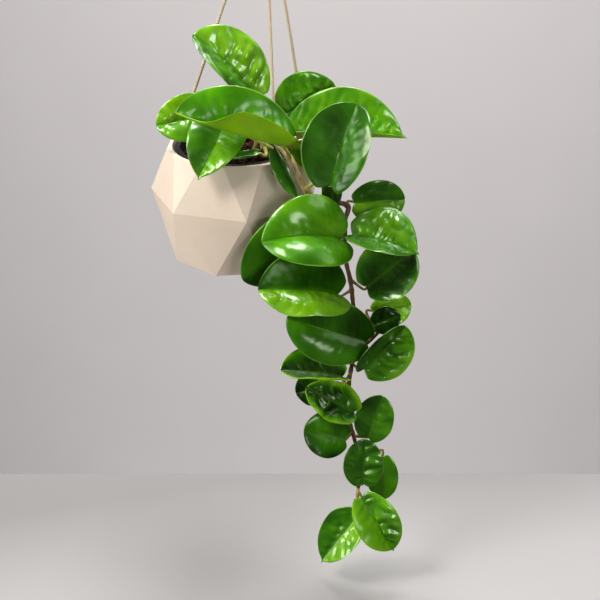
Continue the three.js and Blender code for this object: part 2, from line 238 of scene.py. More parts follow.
def turned(profile, segments, centre=(0, 0, 0)):
    """A body of revolution about Z from a closed profile of (radius, height), axis to axis."""
    centre = np.asarray(centre, float)
    points, rows = [], []
    for radius, height in profile:
        if radius < 1e-6:
            rows.append([len(points)] * segments)
            points.append(centre + [0, 0, height])
            continue
        start = len(points)
        for k in range(segments):
            turn = 2 * np.pi * k / segments
            points.append(centre + [radius * math.cos(turn), radius * math.sin(turn), height])
        rows.append([start + k for k in range(segments)])
    faces = []
    for low, high in zip(rows, rows[1:]):
        for k in range(segments):
            n = (k + 1) % segments
            face = [low[k], low[n], high[n], high[k]]
            faces.append([c for i, c in enumerate(face) if c not in face[:i]])
    return points, faces


# ---------------------------------------------------------------- cords, knot and ring
POT = np.array([-30.0, 0.0, -327.0])  # where the pot's axis crosses its widest level
CORDS = {"cord_left": -124.0, "cord_front": 34.3, "cord_right": 94.0}  # degrees from the front
CORD_RISE = 39.0
CORD_RADIUS = 1.5
CORD_PITCH = 9  # length of one full twist of the strands
STEPS_PER_TWIST = 9
CORD_TURN = 6.5  # length of each leg of the rounded turn into the hole
CORD_TURN_RADIUS = 71
STOP_KNOT_PLACE = 57.3  # distance from the pot's axis
GATHER_Z = -45.0
GATHER_SPREAD = 2.5
STRAND_OFFSET = 0.52  # as shares of the cord's radius
STRAND_RADIUS = 0.6
STRAND_SIDES = 7
WRAPS = 5.3
WRAPS_BOTTOM = -43.3
WRAPS_TOP = -28.6
LOOP_RADIUS = 6
LOOP_Z = -23.1
RING_RADIUS = 11
RING_WIRE = 1.6
RING_MIDDLE = np.array([0, 0, -9.4])


def around_pot(radius, degrees, rise):
    turn = math.radians(degrees)
    return POT + [radius * math.sin(turn), -radius * math.cos(turn), rise]


def cord_route(degrees):
    """From under the gathering knot straight to the rim, round into the hole, to the stop knot."""
    corner = around_pot(CORD_TURN_RADIUS, degrees, CORD_RISE)
    end = around_pot(STOP_KNOT_PLACE, degrees, CORD_RISE)
    away = unit([corner[0], corner[1], 0])
    start = away * GATHER_SPREAD + [0, 0, GATHER_Z - 0.8]
    before = corner + unit(start - corner) * CORD_TURN
    after = corner + unit(end - corner) * CORD_TURN
    line = [start + (before - start) * k / 16 for k in range(16)]
    turn = [before * (1 - t) ** 2 + 2 * corner * t * (1 - t) + after * t ** 2
            for t in np.linspace(0, 1, 9)]
    return np.array([*line, *turn, end])


def even_path(path, step):
    length = arc_lengths(path)
    places = np.linspace(0, length[-1], max(3, int(length[-1] / step)))
    return np.stack([np.interp(places, length, path[:, axis]) for axis in range(3)], axis=1)


def rope_parts(path, radius):
    """Three strands twisted round a path, and how far along, round and out each of their points is."""
    path = even_path(np.asarray(path, float), CORD_PITCH / STEPS_PER_TWIST)
    across, upward = frames(path)
    length = arc_lengths(path)
    parts, along, around, proud = [], [], [], []
    for strand in range(3):
        turn = 2 * np.pi * (length / CORD_PITCH + strand / 3)
        wobble = 1 + 0.05 * np.sin(length * 0.9 + 2 * strand)
        outward = np.cos(turn)[:, None] * across + np.sin(turn)[:, None] * upward
        centre = path + radius * STRAND_OFFSET * outward
        points, faces = bar(centre, radius * STRAND_RADIUS * wobble, STRAND_SIDES)
        middle = np.repeat(path, STRAND_SIDES, axis=0)
        proud.extend(np.linalg.norm(points - middle, axis=1) / radius)
        parts.append((points, faces, 0))
        along.extend(np.repeat(length, STRAND_SIDES))
        around.extend(np.tile(np.arange(STRAND_SIDES) / STRAND_SIDES, len(path)))
    return parts, {"along": along, "around": around, "proud": proud}


def jute():
    made = Shader("jute_twist", Roughness=0.85, Sheen_Weight=0.35, Sheen_Roughness=0.5)
    along = made.math("MULTIPLY", made.attribute("along"), 0.16)
    around = made.math("MULTIPLY", made.attribute("around"), 5)
    place = made.node("CombineXYZ", {"X": along, "Y": around})
    fibres = made.noise(2.6, 5, 0.7, place.outputs[0])
    patches = made.noise(60, 3)
    color = made.ramp(fibres, (0.25, rgb(172, 144, 114)), (0.5, rgb(220, 198, 168)),
                      (0.78, rgb(250, 236, 214)))
    shade = made.mix(made.math("MULTIPLY", patches, 0.35), color, rgb(186, 160, 132))
    # Painted shade: the cord is darkened where its points lie deep in, in the crevices between strands.
    groove = made.ramp(made.attribute("proud"), (0.68, 0.34), (0.94, 1.0))
    made.link("Base Color", made.mix(1.0, shade, groove, "MULTIPLY"))
    made.bump(fibres, 0.6, 0.0006)
    return made.material


JUTE = jute()


def add_cords():
    for name, degrees in CORDS.items():
        route = cord_route(degrees)
        parts, facts = rope_parts(route, CORD_RADIUS)
        add_plain(parts, facts, stop_knot(route[-1]))
        made = mesh_object(name + "_twist", parts, [JUTE], facts, [name], ALL_SMOOTH)


def add_plain(parts, facts, body):
    """Add a body of cord that shows no strands."""
    parts.append((*body, 0))
    for key, value in (("along", 0), ("around", 0), ("proud", 1)):
        facts[key].extend([value] * len(body[0]))


def stop_knot(centre):
    """A small overhand knot as a lumpy ball."""
    return turned([(0, -2.2), (1.5, -1.7), (2.2, -0.5), (2.2, 0.5), (1.5, 1.7), (0, 2.2)], 10, centre)


add_cords()


def add_gather_knot():
    """Cord wrapped round the three cords' heads, and a loop of it that the ring hangs from."""
    turns = np.linspace(0, 2 * np.pi * WRAPS, 150)
    height = np.linspace(WRAPS_BOTTOM, WRAPS_TOP, 150)
    spread = 4.3 + 0.35 * np.sin(np.linspace(0, 9, 150))
    wraps = np.stack([spread * np.cos(turns), spread * np.sin(turns), height], axis=1)
    sweep = np.radians(np.linspace(-78, 258, 60))
    loop = [0 * sweep, LOOP_RADIUS * np.cos(sweep), LOOP_Z + LOOP_RADIUS * np.sin(sweep)]
    loop = np.vstack([[0, 1.2, -33], np.stack(loop, axis=1), [0, -1.2, -33]])
    parts, facts = rope_parts(wraps, CORD_RADIUS)
    more, more_facts = rope_parts(smooth_path(loop[::3], 4), 0.9 * CORD_RADIUS)
    parts += more
    for key, values in more_facts.items():
        facts[key].extend(values)
    core = turned([(0, -44.6), (3.8, -44.6), (4.4, -43), (4.2, -30), (3.2, -27.5), (0, -27)], 20)
    add_plain(parts, facts, core)
    mesh_object("gather_knot_wraps", parts, [JUTE], facts, ["gather_knot"], ALL_SMOOTH)


def add_ring():
    made = Shader("brushed_ring", Metallic=1.0)
    grain = made.noise(900, 2, 0.5, made.position((1, 1, 0.2)))
    made.link("Base Color", made.ramp(grain, (0.3, rgb(170, 172, 175)), (0.7, rgb(205, 207, 210))))
    made.link("Roughness", made.ramp(made.noise(350, 3), (0.3, 0.2), (0.7, 0.38)))
    turn = np.linspace(0, 2 * np.pi, 73)
    circle = np.stack([np.cos(turn), 0 * turn, np.sin(turn)], axis=1)[:-1]
    path = RING_MIDDLE + RING_RADIUS * circle
    sides, points, faces = 16, [], []
    for spot in path:
        out = unit(spot - RING_MIDDLE)
        for k in range(sides):
            a = 2 * np.pi * k / sides
            points.append(spot + RING_WIRE * (math.cos(a) * out + math.sin(a) * np.array([0, 1, 0])))
    count = len(path)
    for i in range(count):
        for j in range(sides):
            k, n = (j + 1) % sides, (i + 1) % count
            faces.append([i * sides + j, i * sides + k, n * sides + k, n * sides + j])
    mesh_object("hang_ring_wire", [(points, faces, 0)], [made.material], {}, ["hang_ring"],
                ALL_SMOOTH)


add_gather_knot()
add_ring()


# ---------------------------------------------------------------- pot, liner and soil
def clay():
    made = Shader("pot_clay", Specular_IOR_Level=0.35)
    mottle = made.noise(14, 5, 0.6)
    grain = made.noise(420, 3, 0.6)
    layers = made.noise(1.0, 2, 0.5, made.position((6, 6, 700)))
    base = made.ramp(mottle, (0.3, rgb(214, 196, 176)), (0.7, rgb(226, 209, 190)))
    speck = made.ramp(grain, (0.25, rgb(196, 176, 154)), (0.42, rgb(221, 204, 184)))
    made.link("Base Color", made.mix(0.25, base, speck))
    made.link("Roughness", made.ramp(grain, (0.3, 0.55), (0.7, 0.72)))
    made.bump(made.mix(0.5, grain, layers), 0.25, 0.0003)
    return made.material


FLAT = math.radians(0.5)  # faces that lean less than this from each other lie in one plane
EDGE_ROUNDING = 0.0007  # in metres
CORNER_ANGLE = math.radians(11)  # flatter edges of the pot are the facets of its round openings


def softened(name, node, material):
    """The node's own form with its flat faces joined up and its edges rounded."""
    shape = bmesh.new()
    shape.from_mesh(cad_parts[node].data)
    bmesh.ops.remove_doubles(shape, verts=shape.verts, dist=1e-6)
    bmesh.ops.dissolve_limit(shape, angle_limit=FLAT, verts=shape.verts, edges=shape.edges)
    edges = [e for e in shape.edges if e.calc_face_angle(0) > CORNER_ANGLE]
    bmesh.ops.bevel(shape, geom=edges, offset=EDGE_ROUNDING, segments=3, profile=0.5, affect="EDGES",
                    clamp_overlap=True)
    mesh = bpy.data.meshes.new(name)
    shape.to_mesh(mesh)
    shape.free()
    mesh.materials.clear()
    mesh.materials.append(material)
    mesh.polygons.foreach_set("material_index", [0] * len(mesh.polygons))
    mesh.shade_smooth()
    mesh.set_sharp_from_angle(angle=math.radians(9))
    return place_object(name, mesh, [node])


softened("pot_faceted", "pot_shell", clay())


# The liner's section as (distance from the axis, height from the pot's widest level).
LINER = [(0, -57.7), (42.4, -57.7), (43, -57.1), (54.4, 44), (54.9, 44.4), (57.9, 44.4), (58.4, 44.8),
         (58.4, 45.9), (57.9, 46.4), (53.7, 46.4), (53.1, 45.9), (41.8, -55.8), (41.1, -56.2), (0, -56.2)]


def add_liner():
    made = Shader("liner_black")
    dust = made.noise(35, 5, 0.65)
    made.link("Base Color", made.ramp(dust, (0.4, rgb(16, 16, 18)), (0.75, rgb(38, 36, 34))))
    made.link("Roughness", made.ramp(made.noise(140, 3), (0.3, 0.34), (0.7, 0.55)))
    parts = [(*turned(LINER, 96, POT), 0)]
    mesh_object("liner_smooth", parts, [made.material], {}, ["nursery_liner"], 35)


SOIL_FLOOR = -55.9  # like the level, from the pot's widest level
SOIL_FLOOR_RADIUS = 41.2
SOIL_TOP_RADIUS = 51.8
SOIL_LEVEL = 38
CHIPS = 420
CHIP_SPREAD = 47


def bark_height(x, y):
    return 1.6 * math.sin(0.31 * x + 0.8) * math.cos(0.27 * y - 0.4) + 0.8 * math.sin(0.74 * x - 0.6 * y)


def chip(centre, size, spin):
    """An irregular flake of bark."""
    signs = [(x, y, z) for x in (-1, 1) for y in (-1, 1) for z in (-1, 1)]
    corners = [np.array(sign) * size / 2 * rng.uniform(0.6, 1.0, 3) for sign in signs]
    corners = np.array(corners) @ spin.T + centre
    faces = [[0, 1, 3, 2], [4, 6, 7, 5], [0, 4, 5, 1], [2, 3, 7, 6], [0, 2, 6, 4], [1, 5, 7, 3]]
    return corners, faces


def rotation(x, y, z):
    cx, sx, cy, sy, cz, sz = math.cos(x), math.sin(x), math.cos(y), math.sin(y), math.cos(z), math.sin(z)
    about_x = np.array([[1, 0, 0], [0, cx, -sx], [0, sx, cx]])
    about_y = np.array([[cy, 0, sy], [0, 1, 0], [-sy, 0, cy]])
    about_z = np.array([[cz, -sz, 0], [sz, cz, 0], [0, 0, 1]])
    return about_z @ about_y @ about_x


def add_soil():
    made = Shader("bark_soil", Roughness=0.9, Specular_IOR_Level=0.1)
    tone = made.noise(95, 4, 0.6)
    fine = made.noise(700, 4, 0.6)
    color = made.ramp(tone, (0.36, rgb(14, 7, 4)), (0.54, rgb(50, 25, 14)), (0.66, rgb(108, 66, 42)),
                      (0.76, rgb(190, 156, 122)))
    made.link("Base Color", made.mix(made.math("MULTIPLY", fine, 0.4), color, rgb(18, 8, 5)))
    made.bump(fine, 0.7, 0.0006)
    profile = [(0, SOIL_FLOOR), (SOIL_FLOOR_RADIUS, SOIL_FLOOR), (SOIL_TOP_RADIUS - 0.3, SOIL_LEVEL - 2.2)]
    profile += [(SOIL_TOP_RADIUS * share, SOIL_LEVEL) for share in (0.9, 0.7, 0.5, 0.3, 0.15, 0)]
    points, faces = turned(profile, 48, POT)
    points = np.array(points)
    upper = points[:, 2] > POT[2] + SOIL_LEVEL - 1
    points[upper, 2] += [bark_height(x - POT[0], y) - 1 for x, y in points[upper, :2]]
    parts = [(points, faces, 0)]
    for _ in range(CHIPS):
        radius = CHIP_SPREAD * math.sqrt(rng.uniform())
        turn = rng.uniform(0, 2 * np.pi)
        x, y = radius * math.cos(turn), radius * math.sin(turn)
        size = np.array([rng.uniform(4, 10), rng.uniform(3, 6), rng.uniform(1.2, 2.6)])
        spin = rotation(rng.normal(0, 0.45), rng.normal(0, 0.45), rng.uniform(0, 6.3))
        centre = POT + [x, y, SOIL_LEVEL + bark_height(x, y) + rng.uniform(-1.0, 1.0)]
        parts.append((*chip(centre, size, spin), 0))
    mesh_object("soil_chips", parts, [made.material], {}, ["soil"], 20)


add_liner()
add_soil()


# ---------------------------------------------------------------- leaves
# Root on the stem, blade base, blade tip, the way the upper side faces, width, fold of the left
# and the right half in degrees, arch as a share of the length, and for some a point that the
# leaf stalk passes on its way. All in millimetres, as in the solids.
LEAVES = {
    "leaf_top_large": [(22, -48, -278), (19, -62, -260), (-80, -72, -225), (0, 0, 1), 84, 46, 72, -0.02],
    "leaf_top_front": [(37, -58, -304), (60, -98, -285), (83, -72, -217), (-0.4, -0.8, 0.45),
        72, 25, 25, 0.04, (48, -82, -288)],
    "leaf_top_under": [(52, -57, -320), (61, -67, -277), (62, -63, -325), (0.1, -0.95, 0.1), 20, 10, 10, 0],
    "leaf_top_rim": [(0, -20, -264), (8, -64, -263), (29, -86, -301), (-0.45, -0.8, 0.4),
        20, 40, 40, 0, (-14, -44, -257)],
    "leaf_top_inner": [(14, -37, -270), (25, -36, -272), (60, -42, -281), (-0.15, -1, 0.2), 28, 20, 20, 0],
    "leaf_top_small": [(-4, -17, -267), (-6, -43, -273), (-34, -45, -278), (0, -0.5, 0.85), 10, 15, 15, 0],
    "leaf_vine_01": [(74, -60, -350), (70, -72, -349), (-3, -104, -338), (0.4, -0.65, 0.65),
        76, 22, 22, 0.18],
    "leaf_vine_02": [(73, -60, -336), (58, -61, -338), (-22, -90, -382), (0.35, -0.93, 0.05),
        74, -12, 0, 0],
    "leaf_vine_03": [(81, -58, -408), (68, -72, -406), (-7, -106, -385), (0.45, -0.65, 0.65),
        78, 35, 25, 0.08],
    "leaf_vine_04": [(86, -54, -462), (96, -68, -458), (19, -78, -428), (0.3, -0.92, 0.22), 64, 8, 8, 0.05],
    "leaf_vine_05": [(78, -57, -322), (84, -38, -325), (132, -30, -325), (0.2, -0.95, 0.15),
        46, 15, 15, 0.05],
    "leaf_vine_06": [(74, -60, -345), (81, -66, -347), (143, -84, -359), (0.05, -0.35, 0.95),
        70, 26, 26, 0.05],
    "leaf_vine_07": [(80, -59, -396), (96, -64, -402), (139, -63, -363), (-0.2, -0.95, 0.3),
        58, 8, 8, 0.03],
    "leaf_vine_08": [(108, -46, -459), (104, -38, -440), (142, -28, -438), (0.25, -0.9, 0.3),
        36, 20, 20, 0.03],
    "leaf_vine_09": [(104, -48, -463), (104, -50, -449), (130, -50, -438), (-0.15, -0.9, 0.4),
        28, 8, 8, 0.03],
    "leaf_vine_10": [(83, -56, -489), (95, -66, -490), (134, -64, -443), (0.2, -1, -0.1), 58, 33, 33, 0.03],
    "leaf_vine_11": [(83, -56, -498), (74, -65, -499), (13, -85, -481), (0.35, -0.4, 0.85),
        52, 46, 25, 0.03],
    "leaf_vine_12": [(81, -56, -512), (54, -54, -516), (28, -48, -527), (-0.35, -0.9, 0.15), 34, 8, 8, 0],
    "leaf_vine_13": [(80, -56, -526), (86, -70, -536), (38, -80, -503), (0.5, -0.8, 0.25),
        42, 20, 20, 0.04, (83, -62, -530)],
    "leaf_vine_14": [(81, -57, -538), (76, -59, -540), (56, -64, -551), (0.15, -0.9, 0.4), 26, 10, 10, 0],
    "leaf_vine_15": [(85, -58, -566), (77, -71, -567), (36, -84, -546), (0.45, -0.8, 0.35), 48, 8, 8, 0.02],
    "leaf_vine_16": [(87, -58, -571), (101, -62, -570), (114, -66, -520), (-0.25, -0.95, 0),
        40, 10, 10, 0.02],
    "leaf_vine_17": [(92, -60, -628), (96, -70, -620), (97, -66, -570), (-0.05, -1, 0.1), 42, 12, 12, 0.03],
    "leaf_vine_18": [(91, -56, -603), (117, -46, -604), (118, -52, -651), (-0.05, -1, 0.15),
        33, 8, 8, 0.03],
    "leaf_vine_19": [(91, -60, -640), (96, -69, -639), (129, -84, -694), (0.15, -0.95, 0.3),
        48, 18, 18, 0.06],
    "leaf_vine_20": [(90, -58, -661), (92, -65, -664), (54, -74, -716), (-0.45, -0.82, 0.35),
        50, 32, 12, 0.03],
    "leaf_top_drooping": [(-34, -15, -252), (-30, -26, -238), (-61, -86, -285), (0, -0.7, 0.75),
        56, 20, 20, 0.05],
    "leaf_top_tall": [(-5, 8, -258), (-11, 4, -233), (-68, 8, -175), (0.5, -0.6, 0.6), 68, 29, 29, 0.06],
    "leaf_top_left": [(-6, 8, -268), (-50, 2, -250), (-104, -14, -257), (0.2, -0.85, 0.5),
        48, 15, 15, 0.04],
    "leaf_top_back": [(-5, 8, -263), (17, -5, -249), (64, -3, -219), (0, -0.97, -0.05), 64, 8, 8, 0.03],
    "leaf_top_right": [(-4, 8, -266), (29, -12, -268), (132, -34, -262), (-0.15, -0.35, 0.95),
        92, 62, 45, 0.02],
}
# How light the upper side is, left half and right half, 0.5 being usual, and how deeply each
# half puckers between its veins. The lightness is partly the leaf's own green and partly painted
# light and shade: halves in shade or turned from the light are painted darker, lit ones lighter.
LOOKS = {
    "leaf_top_large": (0.84, 0.48, 0.3, 1.0),
    "leaf_top_front": (0.22, 0.28, 0.2, 0.9),
    "leaf_top_under": (0.05, 0.05, 0.3, 0.3),
    "leaf_top_rim": (0.05, 0.36, 0.4, 0.5),
    "leaf_top_inner": (1.0, 0.75, 1.2, 1.2),
    "leaf_top_small": (0.4, 0.3, 0.3, 0.3),
    "leaf_top_drooping": (0.7, 0.45, 1.5, 1.2),
    "leaf_top_tall": (0.42, 0.9, 1.8, 3.6),
    "leaf_top_left": (0.64, 0.98, 1.9, 1.9),
    "leaf_top_back": (0.6, 0.36, 1.8, 0.8),
    "leaf_top_right": (0.68, 0.8, 3.0, 1.6),
    "leaf_vine_01": (0.54, 0.66, 0.5, 0.8),
    "leaf_vine_02": (0.13, 0.4, 0.3, 0.5),
    "leaf_vine_03": (0.92, 0.22, 1.5, 0.3),
    "leaf_vine_04": (0.41, 0.18, 0.4, 0.2),
    "leaf_vine_05": (0.3, 0.85, 0.6, 0.9),
    "leaf_vine_06": (0.66, 0.4, 2.4, 2.4),
    "leaf_vine_07": (0.28, 0.2, 0.7, 0.9),
    "leaf_vine_08": (0.95, 0.95, 1.6, 1.4),
    "leaf_vine_09": (0.05, 0.05, 0.5, 0.4),
    "leaf_vine_10": (0.15, 0.6, 0.6, 3.6),
    "leaf_vine_11": (0.5, 0.24, 0.8, 1.4),
    "leaf_vine_12": (0.0, 0.1, 0.4, 0.6),
    "leaf_vine_13": (0.38, 0.42, -3.0, -3.0),
    "leaf_vine_14": (1.0, 1.0, 0.6, 0.6),
    "leaf_vine_15": (0.32, 0.38, 0.3, 0.4),
    "leaf_vine_16": (0.36, 0.52, 1.2, 1.8),
    "leaf_vine_17": (0.36, 0.4, 1.6, -3.6),
    "leaf_vine_18": (0.5, 0.44, 0.8, 0.6),
    "leaf_vine_19": (0.6, 0.76, -4.2, 0.9),
    "leaf_vine_20": (0.92, 0.38, 3.2, 1.6),
}
# Where a blade departs from the usual: the folds of its halves near the tip, the end of its
# outline (0 round, 1 tapered), a drawn-out point, how far its halves bulge, how much its rim
# waves, where it is widest, how much lighter it gets towards the rim (partly its paler margin,
# partly painted sheen), the distance between its side veins in mm, the depth of its midrib's groove
# in mm, and how glossy its halves are.
FORMS = {
    "leaf_top_large": {"tip_folds": (16, 62), "taper": 0.3, "bulge": (-0.05, 0.04), "gloss": (1, 0.6)},
    "leaf_top_front": {"taper": 0.2, "bulge": (0.0, 0.1), "groove": 0.05, "gloss": (0.7, 0.5)},
    "leaf_vine_01": {"taper": 0.8, "bulge": (0.14, 0.1), "gloss": (0.6, 0.85)},
    "leaf_vine_02": {"gloss": (0.4, 0.5)},
    "leaf_vine_03": {"taper": 0.5, "bulge": (0.1, 0.04), "gloss": (1.3, 0.2), "tip_folds": (20, 25)},
    "leaf_vine_04": {"taper": 0.4, "bulge": (0.14, 0.02), "gloss": (0.6, 0.4), "groove": 0.15},
    "leaf_vine_06": {"taper": 1.0, "point": True, "bulge": (0.1, 0.05)},
    "leaf_vine_07": {"taper": 0.0, "bulge": (-0.1, -0.1), "glow": 0.6},
    "leaf_vine_09": {"gloss": (0.4, 0.4)},
    "leaf_vine_10": {"taper": 0.0, "bulge": (0.02, -0.1)},
    "leaf_vine_11": {"tip_folds": (34, 25), "taper": 0.3, "bulge": (-0.12, -0.05), "wave": 2.2,
                     "glow": 1.2, "gloss": (0.5, 0.8)},
    "leaf_vine_12": {"gloss": (0.3, 0.3)},
    "leaf_vine_13": {"taper": 0.4, "bulge": (-0.2, -0.2), "wave": 2.6, "glow": 1.3, "spacing": 13,
                     "gloss": (0.5, 0.5)},
    "leaf_vine_15": {"taper": 0.1, "gloss": (0.35, 0.5), "groove": 0.12, "glow": -0.3},
    "leaf_vine_16": {"taper": 0.0, "bulge": (-0.04, 0.1)},
    "leaf_vine_17": {"taper": 0.0, "bulge": (0.06, 0.1)},
    "leaf_vine_18": {"taper": 0.3},
    "leaf_vine_19": {"taper": 0.7, "point": True, "bulge": (0.14, 0.05), "gloss": (1.4, 0.45), "glow": 0.3},
    "leaf_vine_20": {"taper": 1.0, "point": True, "bulge": (0.0, -0.06), "widest": 0.3,
                     "gloss": (1.4, 0.9)},
    "leaf_top_drooping": {"taper": 1.0, "point": True},
    "leaf_top_tall": {"taper": 0.3, "wave": 1.6, "spacing": 13, "gloss": (1, 1.4)},
    "leaf_top_left": {"taper": 0.3, "gloss": (1, 1.4)},
    "leaf_top_back": {"taper": 0.5},
    "leaf_top_right": {"taper": 0.8, "point": True, "bulge": (0.06, 0.02)},
}
USUAL = {"tip_folds": None, "taper": 0.6, "point": False, "bulge": (0.07, 0.07), "wave": 0.8,
         "widest": 0.42, "glow": 0, "spacing": 9, "groove": 0.35, "gloss": (1, 1)}
# Places across half a blade, from the midrib to the rim, closer together at both.
HALF = [0, 0.018, 0.04, 0.07, 0.11, 0.16, 0.21, 0.26, 0.31, 0.36, 0.42, 0.48, 0.54, 0.6, 0.66, 0.72,
        0.78, 0.84, 0.89, 0.93, 0.965, 0.99, 1]
ACROSS = np.array([-v for v in reversed(HALF[1:])] + HALF)
BLADE_HALF = 0.62  # half the blade's thickness
MIDRIB_WIDTH = 1.3
MIDRIB_PROUD = 0.9  # how far the midrib stands out below
END_ROUNDING = 0.03  # share of the length over which the blade thins out at its ends


def blade_width(u, form):
    """Half the width along the blade as a share of the widest place."""
    widest, taper, point = form["widest"], form["taper"], form["point"]
    low = np.sqrt(np.clip(1 - ((widest - u) / (widest + 0.002)) ** 2, 0, 1))
    x = np.clip(u - widest, 0, 1) / (1 - widest)
    spike = 0.13 * (1 - x) / 0.16
    if point:
        x = np.clip(x / 0.93, 0, 1)
    high = np.clip(1 - x ** 2.2, 0, 1) ** (0.5 + 0.26 * taper)
    if point:
        high = np.where(u > 0.8, np.maximum(high, np.clip(spike, 0, 1)), high)
    return np.where(u <= widest, low, high)


def blade_form(row, form, u, v):
    """The blade's middle surface: halves folded up from the midrib, an arch, and a lobed base."""
    base, tip, face = (np.array(row[k], float) for k in (1, 2, 3))
    width, fold_left, fold_right, arch = row[4:8]
    length = np.linalg.norm(tip - base)
    along = (tip - base) / length
    face = unit(face - along * (face @ along))
    across = np.cross(along, face)
    u, v = np.broadcast_arrays(u, v)
    right, a = v > 0, np.abs(v)
    half = width / 2 * blade_width(u, form)
    late = np.clip((u - 0.45) / 0.4, 0, 1)
    late = late * late * (3 - 2 * late)
    tip_left, tip_right = form["tip_folds"] or (fold_left, fold_right)
    fold = np.radians(np.where(right, fold_right + late * (tip_right - fold_right),
                               fold_left + late * (tip_left - fold_left)))
    lean = arch * 4 * (1 - 2 * u)
    upward = face - along * lean[..., None]
    upward /= np.linalg.norm(upward, axis=-1)[..., None]
    lobes = 0.1 * length * np.clip(1 - u / 0.4, 0, 1) ** 2 * a
    lobes *= np.clip(blade_width(u, form) / 0.35, 0, 1)
    swell = np.where(right, form["bulge"][1], form["bulge"][0]) * half * 4 * a * (1 - a)
    out = a * half * np.cos(fold) - swell * np.sin(fold)
    rise = a * half * np.sin(fold) + swell * np.cos(fold)
    points = base + along * (length * u - lobes)[..., None]
    points = points + face * (arch * length * 4 * u * (1 - u))[..., None]
    points = points + across * (np.sign(v) * out)[..., None] + upward * rise[..., None]
    return points, a * half, length


def blade_normals(row, form, u, v):
    d = 2e-3
    low_u, high_u = np.clip(u - d, 0.001, 1), np.clip(u + d, 0, 0.996)
    forward = blade_form(row, form, high_u, v)[0] - blade_form(row, form, low_u, v)[0]
    left, right = np.clip(v - d, -1, 1), np.clip(v + d, -1, 1)
    middle = np.clip(u, 0.004, 0.99)
    sideways = blade_form(row, form, middle, right)[0] - blade_form(row, form, middle, left)[0]
    normals = np.cross(sideways, forward)
    return normals / np.maximum(np.linalg.norm(normals, axis=-1), 1e-12)[..., None]


def ripple(x, y, wave, source):
    """Smooth random height from a few crossed waves, about -1 to 1."""
    total = 0
    for _ in range(7):
        turn = source.uniform(0, 2 * np.pi)
        size = wave * source.uniform(0.7, 1.5)
        place = (x * math.cos(turn) + y * math.sin(turn)) / size
        total = total + np.sin(2 * np.pi * place + source.uniform(0, 6.3))
    return total / 3


def blade_relief(u, v, reach, length, puckers, form, source):
    """Height of the upper side over the smooth form in mm, and how strongly veins and midrib show."""
    a = np.abs(v)
    right = v > 0
    pucker = np.where(right, puckers[1], puckers[0])
    wave, groove = form["wave"], form["groove"]
    count = max(3.0, length / form["spacing"])
    sideways = np.where(right, reach, -reach)
    warp = 0.3 * ripple(u * length, sideways, 30, source)
    phase = (u - 0.16 * a ** 1.3) * count + np.where(right, source.uniform(), source.uniform()) + warp
    ridge = np.abs(np.sin(np.pi * phase))
    window = np.clip(reach / 3, 0, 1) * (1 - a ** 2) ** 0.7
    window = window * np.clip(u * 8, 0, 1) * np.clip((1 - u) * 6, 0, 1)
    uneven = np.clip(0.6 + 0.5 * ripple(u * length, sideways, 24, source), 0.1, 1.3)
    height = 1.0 * pucker * (ridge ** 0.75 - 0.62) * window * uneven
    crease = np.abs(ripple(u * length, sideways, 26, source)) - 0.4
    height = height + (0.2 + 0.5 * np.abs(pucker)) * window * crease
    height = height + 0.05 * window * ripple(u * length, sideways, 7, source)
    rib = np.exp(-((reach / MIDRIB_WIDTH) ** 2)) * np.clip((1 - u) * 3, 0, 1)
    height = height - groove * rib
    rim = a ** 3 * np.clip((1 - u) * 4, 0, 1)
    turns = 2.3 * u + np.where(right, 0.3, 0) + source.uniform()
    height = height + wave * rim * np.sin(2 * np.pi * turns)
    vein = np.exp(-((ridge / 0.16) ** 2)) * np.clip(1 - a, 0, 1) ** 0.5
    return height, np.maximum(vein * 0.6, rib), rib


def leaf_parts(name, row, seed):
    source = np.random.default_rng(seed)
    left_tone, right_tone, *puckers = LOOKS[name]
    form = {**USUAL, **FORMS.get(name, {})}
    length = math.dist(row[1], row[2])
    stations = 0.5 * (1 - np.cos(np.pi * np.linspace(0, 1, int(24 + length / 1.9))))
    grid_u, grid_v = np.broadcast_arrays(stations[:, None], ACROSS[None, :])
    middle, reach, length = blade_form(row, form, grid_u, grid_v)
    normals = blade_normals(row, form, grid_u, grid_v)
    height, vein, rib = blade_relief(grid_u, grid_v, reach, length, puckers, form, source)
    rim = np.sqrt(np.clip(1 - np.abs(grid_v) ** 14, 0, 1))
    from_end = np.clip(np.minimum(grid_u, 1 - grid_u) / END_ROUNDING, 0, 1)
    ends = np.sqrt(np.clip(1 - (1 - from_end) ** 2, 0, 1))
    edge = rim * ends
    upper = middle + normals * ((height + BLADE_HALF) * edge)[..., None]
    lower = middle + normals * ((height * 0.8 - BLADE_HALF - MIDRIB_PROUD * rib) * edge)[..., None]
    rows, columns = grid_u.shape
    points = np.concatenate([upper.reshape(-1, 3), lower.reshape(-1, 3)])
    total = rows * columns
    corner = (np.arange(rows - 1)[:, None] * columns + np.arange(columns - 1)[None, :]).reshape(-1)
    top = np.stack([corner, corner + 1, corner + columns + 1, corner + columns], axis=1)
    faces = np.vstack([top, top[:, ::-1] + total]).tolist()
    sides = [0] * len(top) + [1] * len(top)
    # Each half's lightness, partly its own green and partly painted light and shade on the whole half,
    # blended across the midrib.
    blur = np.clip(np.abs(grid_v) * 7, 0, 1)
    tone = np.where(grid_v > 0, right_tone, left_tone) * blur
    tone = tone + 0.5 * (left_tone + right_tone) * (1 - blur)
    # The rim term shifts the margin's lightness, partly its own paler colour and partly painted sheen; the
    # relief term paints shade into the hollows between veins and light onto the puckers' crests.
    tone = tone + form["glow"] * (np.abs(grid_v) ** 3 - 0.2) + 0.14 * np.clip(height, -1, 1)
    tone = tone + 0.1 * ripple(grid_u * length, np.sign(grid_v) * reach, 34, source)
    gloss = np.where(grid_v > 0, form["gloss"][1], form["gloss"][0])
    facts = {"tone": np.clip(tone, 0, 1), "vein": vein, "across": np.abs(grid_v), "gloss": gloss}
    return points, faces, sides, {key: np.tile(grid.reshape(-1), 2) for key, grid in facts.items()}


